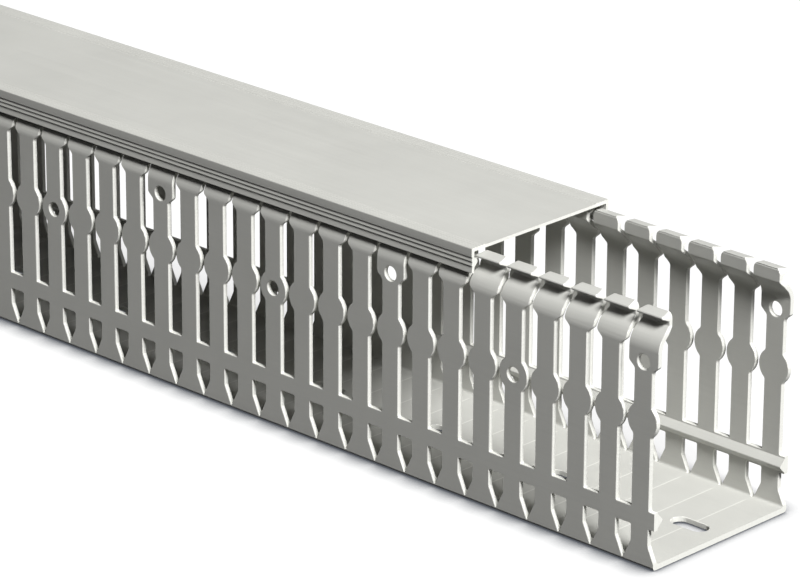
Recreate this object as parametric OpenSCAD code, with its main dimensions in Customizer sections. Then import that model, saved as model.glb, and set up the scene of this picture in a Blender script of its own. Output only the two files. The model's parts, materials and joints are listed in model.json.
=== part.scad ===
// Slotted wire duct: a finger-walled channel with a clip-on cover.
// X runs along the duct, Y across it, Z up from the underside.
// The origin is at the middle of the base's underside.

/* [Duct] */
// Length of the base and of the cover
length = 1000; // [200:12.5:2000]
// Outside width
width = 60; // [40:1:120]
// Height with the cover on
height = 80; // [62:1:120]
// Thickness of the finger walls
wall = 1.6; // [1.2:0.1:2.2]
// Thickness of the floor
floor_t = 1.7; // [1.2:0.1:3]
// Rounding of the two bottom edges
bottom_r = 1; // [0.5:0.1:1.2]

/* [Fingers] */
// Distance from one finger to the next
pitch = 12.5; // [10:0.5:20]
// Width of the slots beside the narrow part of a finger
slot_w = 5.8; // [4.5:0.1:7]
// Gap between the heads, and between the bulges, of two fingers
head_gap = 1.3; // [0.6:0.1:1.6]
// How far the first slot's centre lies outside the end it was cut through
end_inset = 0.7; // [0:0.1:2]
// Height of the bulges' centres
bulge_z = 45.2; // [34:0.2:50]
// Depth below the top at which a finger starts to widen into its head
head_drop = 13.4; // [12:0.1:15]
// Height over which a finger widens into its head
head_rise = 1.7; // [1:0.1:3]
// Extra depth of a head that holds a hole
long_head_extra = 5.7; // [5:0.1:7]

/* [Holes in the fingers] */
// Diameter of the holes
hole_d = 4.8; // [3:0.1:5.5]
// Depth below the top of the holes in the heads
top_hole_drop = 16.7; // [16:0.1:18]
// Number of fingers from a hole in a head to the next hole in a bulge
hole_step = 4; // [2:1:8]

/* [Strip and pencil slots] */
// Lower edge of the unbroken strip
strip_low = 12.4; // [10:0.1:14]
// Upper edge of the unbroken strip
strip_high = 18; // [16:0.1:24]
// How far the ledge inside the strip stands in from the wall
ledge_in = 2.2; // [1:0.1:3]
// Distance of the ledge's two roots from the edges of the strip
ledge_margin = 0.3; // [0.1:0.1:1]
// Height at which a pencil slot starts to narrow
pencil_shoulder = 7; // [5:0.1:9]
// Height of a pencil slot's point
pencil_tip = 1.2; // [0.6:0.1:3]
// Extra depth that the pencil slots are cut to, past the wall
pencil_overcut = 0.4; // [0.1:0.1:1]

/* [Floor slots] */
// Length of a floor slot, end to end
floor_slot_l = 13; // [8:0.5:20]
// Width of a floor slot
floor_slot_w = 6; // [4:0.1:8]
// Number of pitches between floor slots
floor_slot_step = 4; // [2:1:8]

/* [Snap edge] */
// Depth below the top at which a wall starts to curve in
shoulder_drop = 13; // [12.5:0.1:15]
// Outside radius of the curve
shoulder_r = 6.9; // [6.5:0.1:8]
// Angle that the curve's outside turns through before it runs straight
outer_turn = 50; // [40:1:60]
// Angle that the curve's inside turns through before it runs straight
inner_turn = 45; // [35:1:55]
// How far the neck's outer face lies behind the wall's outer face
neck_in = 4.85; // [4:0.05:5]
// Thickness of the neck
neck_t = 1.45; // [1:0.05:1.6]
// How far the lip's tip lies behind the wall's outer face
lip_tip_in = 1.9; // [1.4:0.1:2.2]
// Drop of the lip's top, from its inner corner to its tip
lip_slope = 1; // [0.5:0.05:1.5]
// Thickness of the lip at its tip
lip_tip_t = 0.65; // [0.5:0.05:1]
// Thickness of the lip at the neck
lip_root_t = 2.8; // [2.4:0.05:3.2]
// How far the lip's lower tip corner lies behind the upper one
lip_tip_lean = 0.2; // [0:0.1:0.5]
// Gap between the necks, and between the lips, of two fingers
neck_gap = 2.4; // [1.6:0.1:3.2]
// Depth below the top at which the gap between two heads starts to widen
spread_drop = 8; // [7:0.1:9]
// Height over which that gap widens
spread_h = 2.2; // [1:0.1:3]
// Rounding of a finger's two top corners
tip_r = 2.3; // [1:0.1:3]

/* [Cover] */
// Thickness of the cover's top
cover_t = 1.2; // [1:0.1:2]
// Thickness of the cover's side flanges
flange_t = 1.1; // [0.9:0.1:1.1]
// Depth of the side flanges, from the top
flange_h = 7.9; // [7:0.1:9]
// How far a hook stands in from the inside of its flange
hook_in = 1.8; // [1:0.1:2.4]
// Height of a hook's blunt tip
hook_tip_t = 0.6; // [0.4:0.1:1]
// Clearance between a hook and the lip it grips
snap_gap = 0.3; // [0.1:0.05:0.5]
// Clearance between the walls and the underside of the cover's top
top_gap = 0.4; // [0.1:0.05:0.5]
// Rounding of the cover's long edges
cover_r = 0.8; // [0.3:0.1:1]
// How far the cover is drawn back along the base
cover_setback = 72.5; // [0:0.5:500]

/* [Cover lines] */
// Depth of the plain band at the top of a flange
band_h = 2.9; // [2:0.1:4]
// Height of each of the two narrow teeth below the band
tooth_h = 1.4; // [1:0.1:2]
// Depth of the teeth
tooth_d = 0.35; // [0.1:0.05:0.5]
// Spacing of the fine lines along the top's edges
line_step = 1.4; // [1:0.1:2]
// Number of lines along each edge
line_count = 4; // [1:1:6]
// Depth of a line
line_d = 0.2; // [0.1:0.05:0.4]

/* [Hidden] */
$fn = 64;
over = 1; // how far a cutting tool runs past what it cuts
tip_over = 0.1; // how far the rounding of a top corner runs past the top
wall_top = height - cover_t - top_gap;
finger_w = pitch - head_gap; // across a head or a bulge
shoulder_z = height - shoulder_drop;
neck_inner = neck_in + neck_t;
spread_z = height - spread_drop;
corner_z = wall_top + tip_over - tip_r; // centre of a top corner's rounding
slot_0 = length / 2 + end_inset; // centre of the slot that the near end cuts through
slot_count = floor((length + end_inset) / pitch);
far_rest = (length + end_inset) - slot_count * pitch; // from the last slot's centre to the far end

// Which part to show

function slot_x(j) = slot_0 - j * pitch;
function finger_x(i) = slot_0 - (i + 0.5) * pitch;
function has_top_hole(i) = i >= 0 && i % (2 * hole_step) == 0;
function has_mid_hole(i) = i >= 0 && i % (2 * hole_step) == hole_step;
function head_low(i) = height - head_drop - (has_top_hole(i) ? long_head_extra : 0);

// Extrudes a section drawn in Y and Z along X.
module along_duct(from, to) {
    translate([from, 0, 0])
        rotate([90, 0, 90])
            linear_extrude(height = to - from)
                children();
}

// Extrudes an outline drawn in X and Z across the duct, between two values of Y.
module across_duct(from, to) {
    translate([0, to, 0])
        rotate([90, 0, 0])
            linear_extrude(height = to - from)
                children();
}

// Completes a closed section from its half at -Y, drawn from below to above.
function both_sides(half) = concat(half, [for (i = [len(half) - 1:-1:0]) [-half[i].x, half[i].y]]);

// Places a piece of section, measured from the outer face of the wall at -Y, on both sides.
module on_both_walls() {
    for (side = [0, 1])
        mirror([0, side, 0]) translate([0, -width / 2, 0]) children();
}

// Floor, walls up to the shoulders, and the ledges inside the strips.
module channel() {
    edge = -width / 2;
    along_duct(-length / 2, length / 2)
        polygon(both_sides([
            [0, 0],
            [edge, 0],
            [edge, shoulder_z],
            [edge + wall, shoulder_z],
            [edge + wall, strip_high - ledge_margin],
            [edge + wall + ledge_in, (strip_high + strip_low) / 2],
            [edge + wall, strip_low + ledge_margin],
            [edge + wall, floor_t],
            [0, floor_t]
        ]));
}

// A point of the shoulder's arcs, in Y from the wall's outer face and Z.
function on_shoulder(r, turn) = [shoulder_r - r * cos(turn), shoulder_z + r * sin(turn)];

// Height of the straight run that follows such an arc, at the distance y from the wall's outer face.
function run_height(r, turn, y) =
    on_shoulder(r, turn).y + (y - on_shoulder(r, turn).x) / tan(turn);

// The curve that brings a wall in to its neck.
module shoulder() {
    inner_r = shoulder_r - wall;
    outer_end = on_shoulder(shoulder_r, outer_turn);
    inner_end = on_shoulder(inner_r, inner_turn);
    across = outer_end - inner_end;
    along_duct(-length / 2, length / 2)
        intersection() {
            translate([shoulder_r, shoulder_z])
                difference() {
                    circle(r = shoulder_r);
                    circle(r = inner_r);
                }
            polygon([
                [-over, shoulder_z],
                [-over, outer_end.y + across.y],
                outer_end + across,
                inner_end - across,
                [wall + over, shoulder_z]
            ]);
        }
    along_duct(-length / 2, length / 2)
        polygon([
            on_shoulder(shoulder_r - wall / 2, (outer_turn + inner_turn) / 2 - 8),
            outer_end,
            [neck_inner, run_height(shoulder_r, outer_turn, neck_inner)],
            [neck_inner, run_height(inner_r, inner_turn, neck_inner)],
            inner_end
        ]);
}

// The neck and the lip that points out.
module snap_edge() {
    along_duct(-length / 2, length / 2)
        polygon([
            [neck_in, run_height(shoulder_r, outer_turn, neck_in) - wall / 2],
            [neck_in, wall_top - lip_root_t],
            [lip_tip_in + lip_tip_lean, wall_top - lip_slope - lip_tip_t],
            [lip_tip_in, wall_top - lip_slope],
            [neck_inner, wall_top],
            [neck_inner, run_height(shoulder_r - wall, inner_turn, neck_inner) + wall / 2]
        ]);
}

module bottom_edge_cut() {
    along_duct(-length / 2 - over, length / 2 + over)
        difference() {
            translate([-over, -over]) square(over + bottom_r);
            translate([bottom_r, bottom_r]) circle(r = bottom_r);
        }
}

module base_blank() {
    difference() {
        union() {
            channel();
            on_both_walls() shoulder();
            on_both_walls() snap_edge();
        }
        on_both_walls() bottom_edge_cut();
    }
}

// Upper part of a slot's outline at +X, from the head that starts at the height low.
function slot_side(low) = [
    [slot_w / 2, low],
    [head_gap / 2, low + head_rise],
    [head_gap / 2, spread_z],
    [neck_gap / 2, spread_z + spread_h],
    [neck_gap / 2, corner_z],
    [neck_gap / 2 + tip_r, corner_z],
    [neck_gap / 2 + tip_r, height + over]
];

// Outline of the slot between finger j - 1 (towards +X) and finger j.
module slot_outline(j) {
    far_side = slot_side(head_low(j));
    difference() {
        polygon(concat(
            [[-slot_w / 2, strip_high], [slot_w / 2, strip_high]],
            slot_side(head_low(j - 1)),
            [for (i = [len(far_side) - 1:-1:0]) [-far_side[i].x, far_side[i].y]]
        ));
        for (side = [-1, 1]) {
            translate([side * pitch / 2, bulge_z]) circle(d = finger_w);
            translate([side * (neck_gap / 2 + tip_r), corner_z]) circle(r = tip_r);
        }
    }
}

module pencil_outline() {
    polygon([
        [-slot_w / 2, strip_low],
        [slot_w / 2, strip_low],
        [slot_w / 2, pencil_shoulder],
        [0, pencil_tip],
        [-slot_w / 2, pencil_shoulder]
    ]);
}

module pencil_slots() {
    depth = wall + pencil_overcut;
    for (j = [0:slot_count]) {
        translate([slot_x(j), 0, 0])
            across_duct(-width / 2 - over, -width / 2 + depth) pencil_outline();
        translate([slot_x(j), 0, 0])
            across_duct(width / 2 - depth, width / 2 + over) pencil_outline();
    }
}

module finger_hole(i, z) {
    translate([finger_x(i), 0, z])
        rotate([90, 0, 0])
            cylinder(h = width + 2 * over, d = hole_d, center = true);
}

module floor_slot(j) {
    run = floor_slot_l - floor_slot_w;
    translate([slot_x(j), 0, -over])
        linear_extrude(height = floor_t + 2 * over) {
            square([run, floor_slot_w], center = true);
            for (side = [-1, 1])
                translate([side * run / 2, 0]) circle(d = floor_slot_w);
        }
}

module duct_base() {
    color("silver")
        difference() {
            base_blank();
            for (j = [0:slot_count])
                translate([slot_x(j), 0, 0])
                    across_duct(-width / 2 - over, width / 2 + over) slot_outline(j);
            pencil_slots();
            // less than half a finger is left at the far end: it is cut away
            if (far_rest < pitch / 2)
                translate([-length / 2 - over, -width / 2 - over, strip_high])
                    cube([over + far_rest, width + 2 * over, height]);
            for (i = [0:slot_count - 1]) {
                if (has_top_hole(i)) finger_hole(i, height - top_hole_drop);
                if (has_mid_hole(i)) finger_hole(i, bulge_z);
            }
            for (j = [1:floor_slot_step:slot_count - 1]) floor_slot(j);
        }
}

// Half the cover's section: flange with its teeth and hook, then the top.
function cover_half() =
    let (
        edge = -width / 2,
        inside = edge + flange_t,
        under = height - cover_t,
        lip_under = (lip_root_t - lip_slope - lip_tip_t) / (neck_in - lip_tip_in - lip_tip_lean),
        lip_low = wall_top - lip_slope - lip_tip_t,
        hook_top = lip_low - snap_gap + lip_under * (lip_tip_in + lip_tip_lean - flange_t),
        hook_end = hook_top - lip_under * hook_in,
        tooth_2 = height - band_h - tooth_h,
        tooth_3 = tooth_2 - tooth_h,
        bottom = height - flange_h
    )
    [
        [0, under],
        [inside, under],
        [inside, hook_top],
        [inside + hook_in, hook_end],
        [inside + hook_in, hook_end - hook_tip_t],
        [inside, hook_end - hook_tip_t - hook_in],
        [inside, bottom],
        [edge + tooth_d, bottom],
        [edge, bottom + tooth_d / 2],
        [edge + tooth_d, tooth_3],
        [edge, tooth_3 + tooth_d / 2],
        [edge + tooth_d, tooth_2],
        [edge, tooth_2 + tooth_d / 2],
        [edge + tooth_d, height - band_h],
        [edge, height - band_h],
        [edge, height],
        [0, height]
    ];

// Rounds the long edge of the cover at -Y, where the section's outer face is at 0.
module cover_edge_cut() {
    along_duct(-length / 2 - cover_setback - over, length / 2 - cover_setback + over)
        difference() {
            translate([-over, height - cover_r]) square(over + cover_r);
            translate([cover_r, height - cover_r]) circle(r = cover_r);
        }
}

module duct_cover() {
    color("silver")
        difference() {
            along_duct(-length / 2 - cover_setback, length / 2 - cover_setback)
                difference() {
                    polygon(both_sides(cover_half()));
                    for (side = [-1, 1], k = [1:line_count])
                        translate([side * (width / 2 - k * line_step), height])
                            polygon([[-line_d, over], [-line_d, 0], [0, -line_d], [line_d, 0], [line_d, over]]);
                }
            on_both_walls() cover_edge_cut();
        }
}

duct_base();
duct_cover();
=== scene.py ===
"""Slotted wire duct in a plain studio: a finger-walled channel and its clip-on cover.

X runs along the duct, Y across it and Z up from its underside, all in metres.
"""

from __future__ import annotations

import json
import logging
import math
from contextlib import contextmanager
from dataclasses import dataclass
from enum import Enum
from typing import Callable, Iterator, Sequence

import bmesh
import bpy
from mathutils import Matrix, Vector

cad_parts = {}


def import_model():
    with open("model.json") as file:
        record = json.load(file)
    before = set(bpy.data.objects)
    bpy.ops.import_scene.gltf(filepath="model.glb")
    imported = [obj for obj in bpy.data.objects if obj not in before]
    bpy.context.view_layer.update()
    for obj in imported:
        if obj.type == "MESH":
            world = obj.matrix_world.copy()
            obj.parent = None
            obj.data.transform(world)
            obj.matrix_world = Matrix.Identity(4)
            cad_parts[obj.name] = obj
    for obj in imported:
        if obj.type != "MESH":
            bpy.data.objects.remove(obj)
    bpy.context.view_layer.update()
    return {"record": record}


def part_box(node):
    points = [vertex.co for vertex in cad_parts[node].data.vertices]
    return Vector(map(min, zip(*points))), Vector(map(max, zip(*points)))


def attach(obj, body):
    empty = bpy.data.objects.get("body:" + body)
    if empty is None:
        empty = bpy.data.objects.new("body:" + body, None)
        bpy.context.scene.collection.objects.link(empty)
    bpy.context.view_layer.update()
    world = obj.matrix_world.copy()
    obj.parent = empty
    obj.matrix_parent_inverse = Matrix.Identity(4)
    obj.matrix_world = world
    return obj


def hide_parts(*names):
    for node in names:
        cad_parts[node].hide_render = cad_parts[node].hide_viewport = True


log = logging.getLogger("wire_duct")
MM = 0.001
NEAR = 0.01 * MM  # two places this close are the same
SQUARE = 0.99  # a normal's share along an axis that a square face has

Point = tuple[float, float]
Place = tuple[float, float, float]


# ---------------------------------------------------------------- workshop


def deselect() -> None:
    """Leaves nothing selected and nothing active."""
    for obj in bpy.context.selected_objects:
        obj.select_set(False)
    bpy.context.view_layer.objects.active = None


def only(obj: bpy.types.Object) -> None:
    """Selects one object and makes it the active one.

    Args:
        obj: the object to work on.
    """
    deselect()
    obj.select_set(True)
    bpy.context.view_layer.objects.active = obj


@contextmanager
def editing(obj: bpy.types.Object, kind: str = "FACE") -> Iterator[None]:
    """Opens a mesh in edit mode with nothing selected, and closes it again.

    Args:
        obj: the mesh object.
        kind: what is selected: VERT, EDGE or FACE.
    """
    only(obj)
    bpy.ops.object.mode_set(mode="EDIT")
    bpy.ops.mesh.select_mode(type=kind)
    bpy.ops.mesh.select_all(action="DESELECT")
    try:
        yield
    finally:
        bpy.ops.object.mode_set(mode="OBJECT")


def pick_faces(obj: bpy.types.Object, wanted: Callable[[Vector, Vector], bool]) -> int:
    """Selects faces of the mesh in edit mode by their place and direction.

    Args:
        obj: the mesh object in edit mode.
        wanted: says of a face's centre and normal whether it is selected.

    Returns:
        How many faces are selected.
    """
    mesh = bmesh.from_edit_mesh(obj.data)
    count = 0
    for face in mesh.faces:
        hit = wanted(face.calc_center_median(), face.normal)
        face.select_set(hit)
        count += hit
    bmesh.update_edit_mesh(obj.data)
    return count


def draw_outline(name: str, points: Sequence[Vector]) -> bpy.types.Object:
    """Draws a closed flat outline, one extruded vertex after the other, and fills it.

    Args:
        name: the new object's name.
        points: the corners in order, in metres.

    Returns:
        An object with one face.
    """
    deselect()
    bpy.ops.mesh.primitive_plane_add(size=MM, location=points[0])
    obj = bpy.context.object
    obj.name = obj.data.name = name
    bpy.ops.object.transform_apply(location=True, rotation=True, scale=True)
    with editing(obj, "VERT"):
        bpy.ops.mesh.select_all(action="SELECT")
        bpy.ops.mesh.merge(type="CENTER")
        for here, there in zip(points, points[1:]):
            bpy.ops.mesh.extrude_vertices_move(
                TRANSFORM_OT_translate={"value": there - here}
            )
        mesh = bmesh.from_edit_mesh(obj.data)
        mesh.verts.ensure_lookup_table()
        mesh.verts[0].select_set(True)
        bmesh.update_edit_mesh(obj.data)
        bpy.ops.mesh.edge_face_add()
        bpy.ops.mesh.select_all(action="SELECT")
        bpy.ops.mesh.edge_face_add()
    return obj


def thicken(obj: bpy.types.Object, run: Vector) -> None:
    """Extrudes a flat outline into a closed solid.

    Args:
        obj: the object with the outline.
        run: the extrusion's direction and length.
    """
    with editing(obj):
        bpy.ops.mesh.select_all(action="SELECT")
        bpy.ops.mesh.extrude_region_move(TRANSFORM_OT_translate={"value": run})
        bpy.ops.mesh.select_all(action="SELECT")
        bpy.ops.mesh.normals_make_consistent(inside=False)


def joined(name: str, parts: Sequence[bpy.types.Object]) -> bpy.types.Object:
    """Joins objects into one.

    Args:
        name: the joined object's name.
        parts: the objects, the first of which stays.

    Returns:
        The joined object.
    """
    only(parts[0])
    for part in parts[1:]:
        part.select_set(True)
    bpy.ops.object.join()
    parts[0].name = parts[0].data.name = name
    return parts[0]


def copied(obj: bpy.types.Object, step: Vector) -> bpy.types.Object:
    """Copies an object, mesh and all, to a new place.

    Args:
        obj: the object to copy.
        step: how far the copy lies from it.

    Returns:
        The copy, with its place in its mesh.
    """
    twin = obj.copy()
    twin.data = obj.data.copy()
    bpy.context.scene.collection.objects.link(twin)
    only(twin)
    bpy.ops.transform.translate(value=step)
    bpy.ops.object.transform_apply(location=True, rotation=True, scale=True)
    return twin


def apply_modifier(obj: bpy.types.Object, kind: str, **settings: object) -> None:
    """Adds a modifier and applies it.

    Args:
        obj: the object to change.
        kind: the modifier's type.
        settings: the modifier's own settings.
    """
    only(obj)
    modifier = obj.modifiers.new(kind.title(), kind)
    for key, value in settings.items():
        setattr(modifier, key, value)
    bpy.ops.object.modifier_apply(modifier=modifier.name)


def cut_away(obj: bpy.types.Object, tool: bpy.types.Object) -> None:
    """Cuts a tool's shape out of an object, and deletes the tool.

    Args:
        obj: the object to cut.
        tool: a closed solid, whose finish the cut faces take.
    """
    apply_modifier(
        obj,
        "BOOLEAN",
        operation="DIFFERENCE",
        solver="EXACT",
        object=tool,
        material_mode="TRANSFER",
    )
    bpy.data.objects.remove(tool)


def mirror_across(obj: bpy.types.Object) -> None:
    """Completes a half that lies at -Y with its mirror image at +Y.

    Args:
        obj: the half, open where it meets Y = 0.
    """
    apply_modifier(
        obj, "MIRROR", use_axis=(False, True, False), merge_threshold=NEAR
    )


def smooth(obj: bpy.types.Object, angle: float) -> None:
    """Shades curves smooth and keeps flats flat.

    Args:
        obj: the finished mesh.
        angle: the sharpest bend that is shaded smooth, in degrees.
    """
    only(obj)
    bpy.ops.object.shade_smooth_by_angle(angle=math.radians(angle))
    apply_modifier(obj, "WEIGHTED_NORMAL", keep_sharp=True, weight=80)


def fuse(obj: bpy.types.Object, gap: float = 0.004 * MM) -> None:
    """Merges vertices that lie on each other.

    Args:
        obj: the object to clean.
        gap: the largest distance merged.
    """
    with editing(obj, "VERT"):
        bpy.ops.mesh.select_all(action="SELECT")
        bpy.ops.mesh.remove_doubles(threshold=gap)


def arc(
    centre: Point, radius: float, start: float, end: float, steps: int
) -> list[Point]:
    """Points along an arc.

    Args:
        centre: the arc's centre.
        radius: its radius.
        start: the angle of the first point, in degrees.
        end: the angle of the last point, in degrees.
        steps: the number of chords.

    Returns:
        The steps + 1 points from start to end.
    """
    angles = [math.radians(start + (end - start) * k / steps) for k in range(steps + 1)]
    return [
        (centre[0] + radius * math.cos(a), centre[1] + radius * math.sin(a))
        for a in angles
    ]


def rounded(points: Sequence[tuple[float, float, float, int]]) -> list[Point]:
    """An open outline whose corners are rounded.

    Args:
        points: a corner's two coordinates, its radius, and the chords of its rounding.

    Returns:
        The points of the outline.
    """
    out: list[Point] = []
    for k, (a, b, radius, steps) in enumerate(points):
        if not radius or k in (0, len(points) - 1):
            out.append((a, b))
            continue
        here = Vector((a, b))
        back = Vector(points[k - 1][:2]) - here
        on = Vector(points[k + 1][:2]) - here
        half = back.angle(on) / 2
        reach = min(radius / math.tan(half), 0.49 * back.length, 0.49 * on.length)
        first, last = here + back.normalized() * reach, here + on.normalized() * reach
        for n in range(steps + 1):
            t = n / steps
            p = first * (1 - t) ** 2 + here * (2 * t * (1 - t)) + last * t**2
            out.append((p.x, p.y))
    return out


# ---------------------------------------------------------------- finishes


class NodeSheet:
    """A node tree with short calls to add and join nodes."""

    def __init__(self, tree: bpy.types.NodeTree) -> None:
        """Starts on an empty tree."""
        self.tree = tree
        tree.nodes.clear()

    def add(self, kind: str, **values: object) -> bpy.types.Node:
        """Adds a node.

        Args:
            kind: the node's type.
            values: attributes, input values, or outputs to join to inputs; a name
                with underscores stands for an input's name with spaces.

        Returns:
            The new node.
        """
        node = self.tree.nodes.new(kind)
        for key, value in values.items():
            if hasattr(node, key):
                setattr(node, key, value)
                continue
            socket = node.inputs[key.replace("_", " ")]
            if isinstance(value, bpy.types.NodeSocket):
                self.tree.links.new(value, socket)
            else:
                socket.default_value = value
        return node

    def math(self, what: str, *values: object) -> bpy.types.NodeSocket:
        """Adds a Math node.

        Args:
            what: the operation.
            values: numbers or outputs, in order.

        Returns:
            The node's output.
        """
        node = self.tree.nodes.new("ShaderNodeMath")
        node.operation = what
        for socket, value in zip(node.inputs, values):
            if isinstance(value, bpy.types.NodeSocket):
                self.tree.links.new(value, socket)
            else:
                socket.default_value = value
        return node.outputs[0]

    def mixed(self, share: object, low: object, high: object) -> bpy.types.NodeSocket:
        """Mixes two colours.

        Args:
            share: how much of the second colour, as a number or an output.
            low: the first colour.
            high: the second colour.

        Returns:
            The mixed colour.
        """
        node = self.tree.nodes.new("ShaderNodeMix")
        node.data_type = "RGBA"
        for index, value in ((0, share), (6, low), (7, high)):
            if isinstance(value, bpy.types.NodeSocket):
                self.tree.links.new(value, node.inputs[index])
            else:
                node.inputs[index].default_value = value
        return node.outputs[2]


def shade(colour: Sequence[float], factor: float = 1.0) -> tuple[float, ...]:
    """A linear colour with alpha, made lighter or darker."""
    return (*(min(1.0, c * factor) for c in colour), 1.0)


class PlasticGrain:
    """Streaks, mottling and fine pits of an extruded profile, as one shader group."""

    NAME = "Extruded plastic grain"

    @classmethod
    def group(cls) -> bpy.types.NodeTree:
        """The shader group, built on the first call.

        Returns:
            A group with the outputs Tone, Streak and Relief, each from 0 to 1.
        """
        if cls.NAME in bpy.data.node_groups:
            return bpy.data.node_groups[cls.NAME]
        tree = bpy.data.node_groups.new(cls.NAME, "ShaderNodeTree")
        sheet = NodeSheet(tree)
        for name, start in (("Streak Size", 900.0), ("Pit Size", 5200.0)):
            socket = tree.interface.new_socket(
                name=name, in_out="INPUT", socket_type="NodeSocketFloat"
            )
            socket.default_value = start
        for name in ("Tone", "Streak", "Relief"):
            tree.interface.new_socket(
                name=name, in_out="OUTPUT", socket_type="NodeSocketFloat"
            )
        inside = sheet.add("NodeGroupInput")
        place = sheet.add("ShaderNodeTexCoord").outputs["Object"]
        drawn = sheet.add("ShaderNodeMapping", Vector=place, Scale=(0.012, 1.0, 1.0))
        streak = sheet.add(
            "ShaderNodeTexNoise",
            Vector=drawn.outputs[0],
            Scale=inside.outputs["Streak Size"],
            Detail=3.0,
            Roughness=0.6,
        ).outputs[0]
        tone = sheet.add(
            "ShaderNodeTexNoise", Vector=place, Scale=34.0, Detail=4.0, Roughness=0.55
        ).outputs[0]
        pits = sheet.add(
            "ShaderNodeTexNoise",
            Vector=place,
            Scale=inside.outputs["Pit Size"],
            Detail=2.0,
            Roughness=0.5,
        ).outputs[0]
        relief = sheet.math(
            "ADD",
            sheet.math("MULTIPLY", streak, 0.7),
            sheet.math("MULTIPLY", pits, 0.3),
        )
        out = sheet.add("NodeGroupOutput")
        for name, value in (("Tone", tone), ("Streak", streak), ("Relief", relief)):
            tree.links.new(value, out.inputs[name])
        return tree


@dataclass(frozen=True)
class ExtrudedPlastic:
    """Rigid grey plastic as it leaves the die: satin, with faint streaks along X."""

    name: str
    colour: tuple[float, float, float]
    roughness: float = 0.42
    unevenness: float = 0.05
    relief: float = 0.10
    score_pitch: float = 0.0
    score_start: float = 0.0
    score_reach: float = 0.0
    score_height: float = 0.0

    def material(self) -> bpy.types.Material:
        """Builds the material.

        Returns:
            The new material.
        """
        material = bpy.data.materials.new(self.name)
        material.use_nodes = True
        sheet = NodeSheet(material.node_tree)
        grain = sheet.add("ShaderNodeGroup", node_tree=PlasticGrain.group())
        tone = sheet.math(
            "ADD",
            sheet.math("MULTIPLY", grain.outputs["Tone"], 0.7),
            sheet.math("MULTIPLY", grain.outputs["Streak"], 0.3),
        )
        spread = sheet.add(
            "ShaderNodeMapRange", Value=tone, From_Min=0.3, From_Max=0.7
        ).outputs[0]
        colour = sheet.mixed(
            spread,
            shade(self.colour, 1 - self.unevenness),
            shade(self.colour, 1 + self.unevenness),
        )
        height = grain.outputs["Relief"]
        if self.score_pitch:
            line = self.score_lines(sheet)
            colour = sheet.mixed(
                sheet.math("MULTIPLY", line, 0.55), colour, shade(self.colour, 1.45)
            )
            height = sheet.math(
                "SUBTRACT", height, sheet.math("MULTIPLY", line, 2.0)
            )
        rough = sheet.add(
            "ShaderNodeMapRange",
            Value=grain.outputs["Streak"],
            From_Min=0.25,
            From_Max=0.75,
            To_Min=self.roughness - 0.05,
            To_Max=self.roughness + 0.07,
        ).outputs[0]
        bump = sheet.add(
            "ShaderNodeBump", Height=height, Strength=self.relief, Distance=0.0004
        )
        skin = sheet.add(
            "ShaderNodeBsdfPrincipled",
            Base_Color=colour,
            Roughness=rough,
            IOR=1.5,
            Specular_IOR_Level=0.2,
            Normal=bump.outputs[0],
        )
        sheet.add("ShaderNodeOutputMaterial", Surface=skin.outputs[0])
        return material

    def score_lines(self, sheet: NodeSheet) -> bpy.types.NodeSocket:
        """A mask of the fine lines scored across the floor.

        Args:
            sheet: the material's node tree.

        Returns:
            The mask, 1 on a line and 0 off it.
        """
        place = sheet.add("ShaderNodeTexCoord").outputs["Object"]
        x, y, z = sheet.add("ShaderNodeSeparateXYZ", Vector=place).outputs
        phase = sheet.math(
            "SUBTRACT",
            sheet.math(
                "MODULO",
                sheet.math("ADD", x, 80.5 * self.score_pitch - self.score_start),
                self.score_pitch,
            ),
            self.score_pitch / 2,
        )
        across = sheet.add(
            "ShaderNodeMapRange",
            Value=sheet.math("ABSOLUTE", phase),
            interpolation_type="SMOOTHSTEP",
            From_Min=0.00012,
            From_Max=0.00034,
            To_Min=1.0,
            To_Max=0.0,
        ).outputs[0]
        ends = sheet.add(
            "ShaderNodeMapRange",
            Value=sheet.math("ABSOLUTE", y),
            From_Min=self.score_reach - 0.002,
            From_Max=self.score_reach,
            To_Min=1.0,
            To_Max=0.0,
        ).outputs[0]
        level = sheet.math(
            "COMPARE", z, self.score_height, 0.00005
        )
        return sheet.math("MULTIPLY", sheet.math("MULTIPLY", across, ends), level)


class Tool(Enum):
    """What made a bare edge: the punch or the saw."""

    PUNCH = "punch"
    SAW = "saw"


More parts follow.
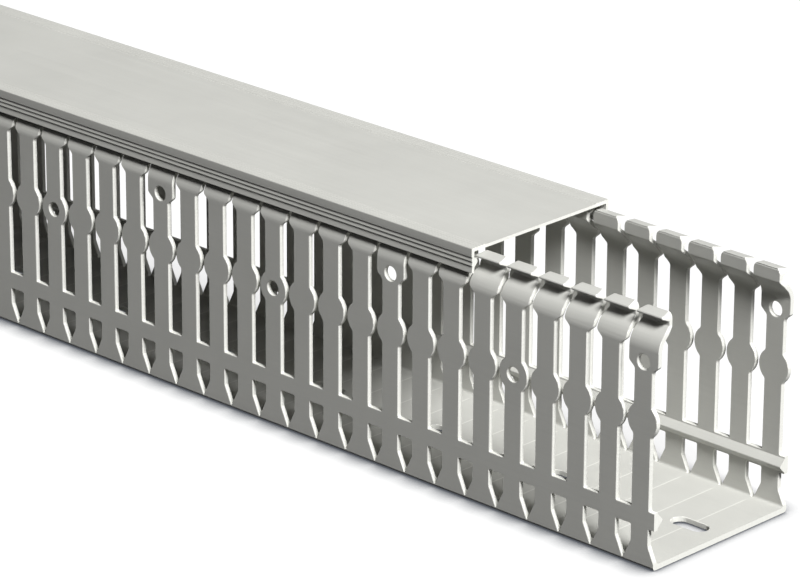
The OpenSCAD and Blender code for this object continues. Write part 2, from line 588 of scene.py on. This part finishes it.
@dataclass(frozen=True)
class CutPlasticPaintedLight:
    """The same plastic where a tool went through it: duller, and lighter, partly from
    the cut's own whitening and partly as painted light.
    """

    name: str
    colour: tuple[float, float, float]
    tool: Tool

    def material(self) -> bpy.types.Material:
        """Builds the material.

        Returns:
            The new material.
        """
        material = bpy.data.materials.new(self.name)
        material.use_nodes = True
        sheet = NodeSheet(material.node_tree)
        place = sheet.add("ShaderNodeTexCoord").outputs["Object"]
        stretch = {Tool.PUNCH: (1.0, 0.05, 1.0), Tool.SAW: (1.0, 1.0, 0.06)}[self.tool]
        drawn = sheet.add("ShaderNodeMapping", Vector=place, Scale=stretch)
        marks = sheet.add(
            "ShaderNodeTexNoise",
            Vector=drawn.outputs[0],
            Scale=2600.0,
            Detail=3.0,
            Roughness=0.65,
        ).outputs[0]
        spread = sheet.add(
            "ShaderNodeMapRange", Value=marks, From_Min=0.3, From_Max=0.7
        ).outputs[0]
        # painted light: the cut faces are made 1.36 to 1.5 times lighter, partly for
        # the cut's whitening and partly to stand in for the key lamp's light on them
        colour = sheet.mixed(spread, shade(self.colour, 1.36), shade(self.colour, 1.5))
        rough = sheet.add(
            "ShaderNodeMapRange", Value=marks, To_Min=0.5, To_Max=0.72
        ).outputs[0]
        bump = sheet.add(
            "ShaderNodeBump", Height=marks, Strength=0.25, Distance=0.0002
        )
        skin = sheet.add(
            "ShaderNodeBsdfPrincipled",
            Base_Color=colour,
            Roughness=rough,
            IOR=1.5,
            Specular_IOR_Level=0.2,
            Normal=bump.outputs[0],
        )
        sheet.add("ShaderNodeOutputMaterial", Surface=skin.outputs[0])
        return material


# ---------------------------------------------------------------- the base


class FingerHole(Enum):
    """Where a finger has its round hole."""

    NONE = "none"
    HEAD = "head"
    BULGE = "bulge"


@dataclass
class DuctBase:
    """The channel with its two walls of fingers. Sizes are in millimetres."""

    length: float
    width: float
    top: float
    colour: tuple[float, float, float]
    wall: float = 1.6
    floor: float = 1.7
    bottom_r: float = 1.0
    pitch: float = 12.5
    end_inset: float = 0.7
    slot_w: float = 5.8
    head_gap: float = 1.3
    bulge_z: float = 45.2
    head_drop: float = 13.4
    head_rise: float = 1.7
    long_head: float = 5.7
    hole_d: float = 4.8
    top_hole_drop: float = 16.7
    strip_low: float = 12.4
    strip_high: float = 18.0
    ledge: float = 2.2
    pencil_shoulder: float = 7.0
    pencil_tip: float = 1.2
    shoulder_drop: float = 13.0
    shoulder_r: float = 6.9
    outer_turn: float = 50.0
    inner_turn: float = 45.0
    neck_in: float = 4.85
    neck_t: float = 1.45
    rim_drop: float = 1.6
    neck_gap: float = 2.4
    spread_drop: float = 8.0
    spread_h: float = 2.2
    tip_r: float = 2.3
    chamfer: float = 0.16
    floor_slot_l: float = 13.0
    floor_slot_w: float = 6.0
    pencil_overcut: float = 0.4
    finger_cut: float = 8.0
    sliver: float = 0.45
    bay: int = 8

    NAME = "duct_base_moulding"
    NODE = "duct_base"
    BODY = "base"
    SLOT = "base_plastic"

    def holes(self, finger: int) -> FingerHole:
        """Which hole the finger has, counted from the near end of a bay."""
        return {0: FingerHole.HEAD, 4: FingerHole.BULGE}.get(
            finger % self.bay, FingerHole.NONE
        )

    def run_on(self, end: Point, turn: float, y: float) -> float:
        """Height at which the straight run after a shoulder's arc is at a distance in.

        Args:
            end: the arc's last point.
            turn: the angle that the arc turned through, in degrees.
            y: where the height is wanted.

        Returns:
            The height.
        """
        return end[1] + (y - end[0]) / math.tan(math.radians(turn))

    def section(self) -> list[Point]:
        """Half the section, at -Y, from the middle of the underside round to the floor.

        Returns:
            Points in Y and Z.
        """
        edge = -self.width / 2
        bend = (edge + self.shoulder_r, self.top - self.shoulder_drop)
        rim = self.top - self.rim_drop
        neck = edge + self.neck_in
        inner = neck + self.neck_t
        outside = arc(bend, self.shoulder_r, 180, 180 - self.outer_turn, 6)
        inside = arc(bend, self.shoulder_r - self.wall, 180 - self.inner_turn, 180, 6)
        points: list[Point] = [(0.0, 0.0)]
        points += arc((edge + self.bottom_r, self.bottom_r), self.bottom_r, 270, 180, 3)
        points += outside
        points += rounded(
            [
                (*outside[-1], 0, 0),
                (neck, self.run_on(outside[-1], self.outer_turn, neck), 0, 0),
                (neck, rim - 2.8, 0, 0),
                (edge + 2.1, rim - 1.65, 0.3, 2),
                (edge + 1.9, rim - 1.0, 0.3, 2),
                (inner, rim, 0.7, 3),
                (inner, self.run_on(inside[0], self.inner_turn, inner), 0.9, 3),
                (*inside[0], 0, 0),
            ]
        )[1:]
        points += inside[1:-1]
        face = edge + self.wall
        middle = (self.strip_low + self.strip_high) / 2
        points += rounded(
            [
                (*inside[-1], 0, 0),
                (face, self.strip_high - 0.55, 0.2, 1),
                (face + self.ledge, middle, 0.35, 2),
                (face, self.strip_low + 0.55, 0.2, 1),
                (face, self.floor, 0.9, 3),
                (0.0, self.floor, 0, 0),
            ]
        )
        return points

    def finger_edge(self, hole: FingerHole) -> list[Point]:
        """One edge of a finger, from the strip up, as its distance from the middle.

        Args:
            hole: the finger's hole, which sets the depth of its head.

        Returns:
            Points of half width and height.
        """
        slim = (self.pitch - self.slot_w) / 2
        broad = (self.pitch - self.head_gap) / 2
        neck = (self.pitch - self.neck_gap) / 2
        spread = self.top - self.spread_drop
        corner_z = self.top - self.rim_drop + 0.1 - self.tip_r
        blend = 1.0
        reach = slim + blend
        rise = math.sqrt((broad + blend) ** 2 - reach**2)
        turn = math.degrees(math.atan2(rise, reach))
        low = self.top - self.head_drop
        if hole is FingerHole.HEAD:
            low -= self.long_head
        points = arc((reach, self.bulge_z - rise), blend, 180, 180 - turn, 3)
        points += arc((0, self.bulge_z), broad, -turn, turn, 10)[1:-1]
        points += arc((reach, self.bulge_z + rise), blend, 180 + turn, 180, 3)
        points += rounded(
            [
                (slim, low - 3, 0, 0),
                (slim, low - 0.1, 1.3, 3),
                (broad, low + self.head_rise + 0.1, 1.3, 3),
                (broad, spread, 1.0, 2),
                (neck, spread + self.spread_h, 1.0, 2),
                (neck, corner_z, 0, 0),
            ]
        )[1:-1]
        points += arc((neck - self.tip_r, corner_z), self.tip_r, 0, 90, 5)
        points.append((neck - self.tip_r, self.top + 1))
        return points

    def slot_outline(self, near: FingerHole, far: FingerHole) -> list[Point]:
        """Outline of the gap between two fingers, from the strip up.

        Args:
            near: the hole of the finger towards +X.
            far: the hole of the finger towards -X.

        Returns:
            Points in X, from the gap's middle, and Z.
        """
        half = self.pitch / 2
        side = self.slot_w / 2
        low = self.strip_high
        foot = [(0, low, 0, 0), (side, low, 0.35, 2), (side, low + 5, 0, 0)]
        right = rounded(foot)[:-1] + [(half - w, z) for w, z in self.finger_edge(near)]
        left = rounded(foot)[1:-1] + [(half - w, z) for w, z in self.finger_edge(far)]
        return right + [(-x, z) for x, z in reversed(left)]

    def pencil_outline(self) -> list[Point]:
        """Outline of a pointed slot below the strip.

        Returns:
            Points in X, from the slot's middle, and Z.
        """
        side = self.slot_w / 2
        right = rounded(
            [
                (0, self.strip_low, 0, 0),
                (side, self.strip_low, 0.3, 1),
                (side, self.pencil_shoulder, 1.1, 2),
                (0.15, self.pencil_tip, 0, 0),
            ]
        )
        return right + [(-x, z) for x, z in reversed(right[1:])]

    def across(
        self, name: str, outline: Sequence[Point], x: float, depth: float
    ) -> bpy.types.Object:
        """A cutting tool that goes in through the wall at -Y.

        Args:
            name: the tool's name.
            outline: points in X and Z.
            x: where the outline's middle lies.
            depth: how far it goes in from the wall's outer face.

        Returns:
            The closed tool.
        """
        start = -self.width / 2 - 1
        points = [Vector((x + px, start, pz)) * MM for px, pz in outline]
        tool = draw_outline(name, points)
        thicken(tool, Vector((0, (depth + 1) * MM, 0)))
        return tool

    def punches(self) -> bpy.types.Object:
        """All that is punched out of one wall of a bay.

        Returns:
            One object with every tool of the bay, whose near end is at X = 0.
        """
        tools: list[bpy.types.Object] = []
        for gap in range(self.bay + 1):
            x = -gap * self.pitch
            outline = self.slot_outline(self.holes(gap - 1), self.holes(gap))
            tools.append(self.across("finger_gap", outline, x, self.finger_cut))
            depth = self.wall + self.pencil_overcut
            tools.append(self.across("pencil_gap", self.pencil_outline(), x, depth))
        for finger in range(self.bay):
            hole = self.holes(finger)
            if hole is FingerHole.NONE:
                continue
            z = self.top - self.top_hole_drop
            if hole is FingerHole.BULGE:
                z = self.bulge_z
            x = -(finger + 0.5) * self.pitch
            y = (self.wall - self.width) / 2
            deselect()
            bpy.ops.mesh.primitive_cylinder_add(
                vertices=28,
                radius=self.hole_d / 2 * MM,
                depth=4 * MM,
                location=Vector((x, y, z)) * MM,
                rotation=(math.pi / 2, 0, 0),
            )
            bpy.ops.object.transform_apply(location=True, rotation=True, scale=True)
            tools.append(bpy.context.object)
        radius = self.floor_slot_w / 2
        run = self.floor_slot_l / 2 - radius
        for gap in (1, 1 + self.bay // 2):
            x = -gap * self.pitch
            points = arc((x + run, 0), radius, -90, 90, 10)
            points += arc((x - run, 0), radius, 90, 270, 10)
            corners = [Vector((px, py, -1)) * MM for px, py in points]
            slot = draw_outline("floor_slot", corners)
            thicken(slot, Vector((0, 0, (self.floor + 2) * MM)))
            tools.append(slot)
        return joined("punches", tools)

    def make_bay(self) -> bpy.types.Object:
        """Models one bay: the channel over eight fingers, punched, with broken edges.

        Returns:
            The bay, from X = 0 towards -X, open at both ends.
        """
        run = self.bay * self.pitch
        outline = [Vector((0, y, z)) * MM for y, z in self.section()]
        bay = draw_outline("bay", outline)
        thicken(bay, Vector((-run * MM, 0, 0)))
        bay.data.materials.append(self.skin)
        tools = self.punches()
        tools.data.materials.clear()
        tools.data.materials.append(self.punched)
        cut_away(bay, tools)
        with editing(bay):
            pick_faces(
                bay,
                lambda c, n: (
                    abs(n.x) > SQUARE and min(abs(c.x), abs(c.x + run * MM)) < NEAR
                )
                or (abs(n.y) > SQUARE and abs(c.y) < NEAR),
            )
            bpy.ops.mesh.delete(type="FACE")
        mirror_across(bay)
        fuse(bay)
        apply_modifier(
            bay,
            "BEVEL",
            width=self.chamfer * MM,
            segments=1,
            limit_method="ANGLE",
            angle_limit=math.radians(38),
            use_clamp_overlap=False,
        )
        return bay

    def saw_off(self, duct: bpy.types.Object, x: float, outwards: int) -> None:
        """Saws the duct square and closes the cut.

        Args:
            duct: the duct to cut.
            x: where the saw goes through, in metres.
            outwards: 1 if the waste is towards +X, -1 towards -X.
        """
        with editing(duct):
            bpy.ops.mesh.select_all(action="SELECT")
            bpy.ops.mesh.bisect(
                plane_co=(x, 0, 0),
                plane_no=(outwards, 0, 0),
                use_fill=True,
                clear_outer=True,
                threshold=1e-7,
            )
            pick_faces(duct, lambda c, n: abs(c.x - x) < NEAR and abs(n.x) > SQUARE)
            duct.active_material_index = 2
            bpy.ops.object.material_slot_assign()

    def build(self, near_x: float) -> bpy.types.Object:
        """Builds the whole base.

        Args:
            near_x: the X of its near end, in metres.

        Returns:
            The finished piece.
        """
        self.skin = ExtrudedPlastic(
            "base plastic",
            self.colour,
            score_pitch=self.pitch * MM,
            score_start=near_x + self.end_inset * MM,
            score_reach=(self.width / 2 - 4.0) * MM,
            score_height=self.floor * MM,
        ).material()
        self.punched = CutPlasticPaintedLight("punched edge", self.colour, Tool.PUNCH).material()
        self.sawn = CutPlasticPaintedLight("sawn end", self.colour, Tool.SAW).material()
        bay = self.make_bay()
        run = self.bay * self.pitch * MM
        start = near_x + self.end_inset * MM
        count = math.ceil((self.length * MM + self.end_inset * MM) / run)
        bays = [copied(bay, Vector((start - k * run, 0, 0))) for k in range(count)]
        bpy.data.objects.remove(bay)
        duct = joined(self.NAME, bays)
        duct.data.materials.append(self.sawn)
        fuse(duct)
        far_x = near_x - self.length * MM
        self.saw_off(duct, near_x, 1)
        self.saw_off(duct, far_x, -1)
        with editing(duct):
            pick_faces(
                duct,
                lambda c, n: c.x < far_x + self.sliver * MM
                and c.z > (self.strip_high + 1) * MM,
            )
            bpy.ops.mesh.delete(type="FACE")
        smooth(duct, 40)
        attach(duct, self.BODY)
        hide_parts(self.NODE)
        return duct


# ---------------------------------------------------------------- the cover


@dataclass
class DuctCover:
    """The clip-on cover with its ribbed edges. Sizes are in millimetres."""

    width: float
    top: float
    colour: tuple[float, float, float]
    plate: float = 1.2
    flange: float = 1.1
    flange_h: float = 7.9
    band: float = 2.9
    tooth: float = 1.4
    tooth_in: float = 0.35
    recess: float = 0.22
    rib_step: float = 1.15
    rib_count: int = 4
    hook: float = 1.8

    NAME = "duct_cover_strip"
    NODE = "duct_cover"
    BODY = "cover"
    SLOT = "cover_plastic"

    def section(self) -> list[Point]:
        """Half the section, at -Y, from the middle of the underside round to the top.

        Returns:
            Points in Y and Z.
        """
        edge = -self.width / 2
        inside = edge + self.flange
        under = self.top - self.plate
        bottom = self.top - self.flange_h
        hook_top = 76.87 - 80 + self.top
        corners: list[tuple[float, float, float, int]] = [
            (0, under, 0, 0),
            (inside, under, 0.3, 2),
            (inside, hook_top, 0.1, 1),
            (inside + self.hook, hook_top - 0.75, 0.15, 1),
            (inside + self.hook, hook_top - 1.35, 0.15, 1),
            (inside, hook_top - 3.15, 0.4, 1),
            (inside, bottom, 0.2, 1),
            (edge + self.tooth_in, bottom, 0.12, 1),
            (edge, bottom + 0.2, 0.1, 1),
        ]
        for step in (2, 1):
            z = self.top - self.band - step * self.tooth
            corners += [
                (edge + self.tooth_in, z, 0.06, 1),
                (edge, z + 0.2, 0.1, 1),
            ]
        corners += [
            (edge + self.tooth_in, self.top - self.band, 0.06, 1),
            (edge, self.top - self.band + 0.06, 0.1, 1),
            (edge, self.top, 0.8, 4),
        ]
        for rib in range(self.rib_count):
            y = edge + 1.05 + rib * self.rib_step
            corners += [
                (y - 0.28, self.top, 0.05, 1),
                (y, self.top - 0.2, 0.05, 1),
                (y + 0.28, self.top, 0.05, 1),
            ]
        step_y = edge + 1.05 + (self.rib_count - 1) * self.rib_step + 1.1
        corners += [
            (step_y, self.top, 0.08, 1),
            (step_y + 0.12, self.top - self.recess, 0.08, 1),
            (0, self.top - self.recess, 0, 0),
        ]
        return rounded(corners)

    def build(self, near_x: float, far_x: float) -> bpy.types.Object:
        """Builds the cover.

        Args:
            near_x: the X of its near end, in metres.
            far_x: the X of its far end, in metres.

        Returns:
            The finished piece.
        """
        skin = ExtrudedPlastic("cover plastic", self.colour, relief=0.08).material()
        sawn = CutPlasticPaintedLight("sawn cover end", self.colour, Tool.SAW).material()
        outline = [Vector((near_x, y * MM, z * MM)) for y, z in self.section()]
        cover = draw_outline(self.NAME, outline)
        thicken(cover, Vector((far_x - near_x, 0, 0)))
        cover.data.materials.append(skin)
        cover.data.materials.append(sawn)
        with editing(cover):
            pick_faces(cover, lambda c, n: abs(n.y) > SQUARE and abs(c.y) < NEAR)
            bpy.ops.mesh.delete(type="FACE")
        mirror_across(cover)
        with editing(cover):
            pick_faces(cover, lambda c, n: abs(n.x) > SQUARE)
            cover.active_material_index = 1
            bpy.ops.object.material_slot_assign()
        smooth(cover, 42)
        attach(cover, self.BODY)
        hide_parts(self.NODE)
        return cover


# ---------------------------------------------------------------- the studio


@dataclass(frozen=True)
class Lamp:
    """A soft square lamp. Sizes are in metres."""

    name: str
    place: Place
    aim: Place
    side: float
    watts: float


@dataclass
class Studio:
    """Pale floor, soft lamps and the camera."""

    aim: Place = (0.42142, -0.05376, 0.07113)
    azimuth: float = 43.944
    elevation: float = 21.043
    roll: float = 0.282
    distance: float = 1.32077
    lens: float = 205.33
    # the reach and the colour of the painted contact shadow on the floor
    contact_reach: float = 0.009
    contact_shadow_paint: tuple[float, ...] = (0.11, 0.12, 0.14, 1.0)
    cast_share: float = 0.2
    floor_to_object: tuple[float, ...] = (0.02, 0.02, 0.02, 1.0)
    sky_to_object: float = 0.04

    LAMPS = (
        Lamp("key lamp", (3.7, -1.05, 3.64), (0.4, 0, 0.04), 1.5, 465.0),
        Lamp("back lamp", (0.9, 4.0, 0.45), (0.0, 0, 0.04), 2.0, 80.0),
    )

    def camera(self) -> None:
        """Sets up the camera, level but for a slight roll."""
        data = bpy.data.cameras.new("camera")
        data.lens = self.lens
        data.sensor_width = 36.0
        data.clip_start, data.clip_end = 0.05, 50.0
        obj = bpy.data.objects.new("camera", data)
        bpy.context.scene.collection.objects.link(obj)
        a, e = math.radians(self.azimuth), math.radians(self.elevation)
        flat = math.cos(e)
        back = Vector((math.sin(a) * flat, -math.cos(a) * flat, math.sin(e)))
        obj.location = Vector(self.aim) + back * self.distance
        turn = (-back).to_track_quat("-Z", "Y").to_euler()
        obj.rotation_euler = turn
        obj.rotation_euler.rotate_axis("Z", math.radians(self.roll))
        bpy.context.scene.camera = obj

    def lamp(self, lamp: Lamp) -> None:
        """Adds a soft square lamp.

        Args:
            lamp: the lamp.
        """
        data = bpy.data.lights.new(lamp.name, "AREA")
        data.shape = "SQUARE"
        data.size = lamp.side
        data.energy = lamp.watts
        obj = bpy.data.objects.new(lamp.name, data)
        bpy.context.scene.collection.objects.link(obj)
        obj.location = lamp.place
        look = Vector(lamp.aim) - Vector(lamp.place)
        obj.rotation_euler = look.to_track_quat("-Z", "Y").to_euler()

    def floor(self) -> None:
        """Adds the floor: white with a painted soft contact shadow from ambient
        occlusion and a faint real cast shadow, but dark to what stands on it.
        """
        deselect()
        bpy.ops.mesh.primitive_plane_add(size=1.0, location=(0, 0, -0.0002))
        plane = bpy.context.object
        plane.name = "studio_floor"
        with editing(plane):
            bpy.ops.mesh.select_all(action="SELECT")
            bpy.ops.transform.resize(value=(40, 40, 1))
            bpy.ops.mesh.subdivide(number_cuts=3)
        bpy.ops.object.transform_apply(location=True, rotation=True, scale=True)
        material = bpy.data.materials.new("studio floor")
        material.use_nodes = True
        sheet = NodeSheet(material.node_tree)
        path = sheet.add("ShaderNodeLightPath").outputs
        seen = sheet.math(
            "MAXIMUM",
            path["Is Camera Ray"],
            sheet.math("MAXIMUM", path["Is Glossy Ray"], path["Is Transmission Ray"]),
        )
        # painted shadow: ambient occlusion darkens the floor's white towards the shadow
        # colour near the duct
        near = sheet.add(
            "ShaderNodeAmbientOcclusion", samples=8, Distance=self.contact_reach
        ).outputs["AO"]
        light = sheet.add(
            "ShaderNodeMapRange", Value=near, From_Min=0.45, From_Max=1.0
        ).outputs[0]
        painted_contact_shadow = sheet.mixed(light, self.contact_shadow_paint, (1.0, 1.0, 1.0, 1.0))
        bright = sheet.add("ShaderNodeEmission", Color=painted_contact_shadow, Strength=1.0)
        matt = sheet.add("ShaderNodeBsdfDiffuse", Color=painted_contact_shadow)
        pale = sheet.add("ShaderNodeMixShader", Fac=self.cast_share)
        dark = sheet.add("ShaderNodeBsdfDiffuse", Color=self.floor_to_object)
        both = sheet.add("ShaderNodeMixShader", Fac=seen)
        for shader, socket in (
            (bright, pale.inputs[1]),
            (matt, pale.inputs[2]),
            (dark, both.inputs[1]),
            (pale, both.inputs[2]),
        ):
            material.node_tree.links.new(shader.outputs[0], socket)
        sheet.add("ShaderNodeOutputMaterial", Surface=both.outputs[0])
        plane.data.materials.append(material)

    def world(self) -> None:
        """Sets a dim even sky that looks white."""
        world = bpy.data.worlds.new("studio")
        bpy.context.scene.world = world
        world.use_nodes = True
        sheet = NodeSheet(world.node_tree)
        path = sheet.add("ShaderNodeLightPath").outputs
        strength = sheet.add(
            "ShaderNodeMapRange",
            Value=path["Is Camera Ray"],
            To_Min=self.sky_to_object,
            To_Max=1.0,
        ).outputs[0]
        sky = sheet.add("ShaderNodeBackground", Color=(1, 1, 1, 1), Strength=strength)
        sheet.add("ShaderNodeOutputWorld", Surface=sky.outputs[0])

    def build(self) -> None:
        """Sets up the whole studio."""
        view = bpy.context.scene.view_settings
        view.view_transform = "Standard"
        self.camera()
        self.world()
        self.floor()
        for lamp in self.LAMPS:
            self.lamp(lamp)


def report(piece: bpy.types.Object, body: str) -> None:
    """Logs a finished piece.

    Args:
        piece: the piece.
        body: the body that it rides on.
    """
    faces = len(piece.data.polygons)
    log.info("%s: %d faces, rides on %s", piece.name, faces, body)


def main() -> None:
    """Builds the duct, its cover and the studio, in that order."""
    logging.basicConfig(level=logging.INFO, format="%(message)s")
    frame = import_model()
    colours = {
        m["slot"]: tuple(m["base_color"][:3]) for m in frame["record"]["materials"]
    }
    base_low, base_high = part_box(DuctBase.NODE)
    cover_low, cover_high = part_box(DuctCover.NODE)
    studio = Studio()
    studio.build()
    base = DuctBase(
        length=(base_high.x - base_low.x) / MM,
        width=(base_high.y - base_low.y) / MM,
        top=cover_high.z / MM,
        colour=colours[DuctBase.SLOT],
    )
    piece = base.build(base_high.x)
    report(piece, base.BODY)
    cover = DuctCover(
        width=(cover_high.y - cover_low.y) / MM,
        top=cover_high.z / MM,
        colour=colours[DuctCover.SLOT],
    )
    piece = cover.build(cover_high.x, cover_low.x)
    report(piece, cover.BODY)


if __name__ == "__main__":
    main()
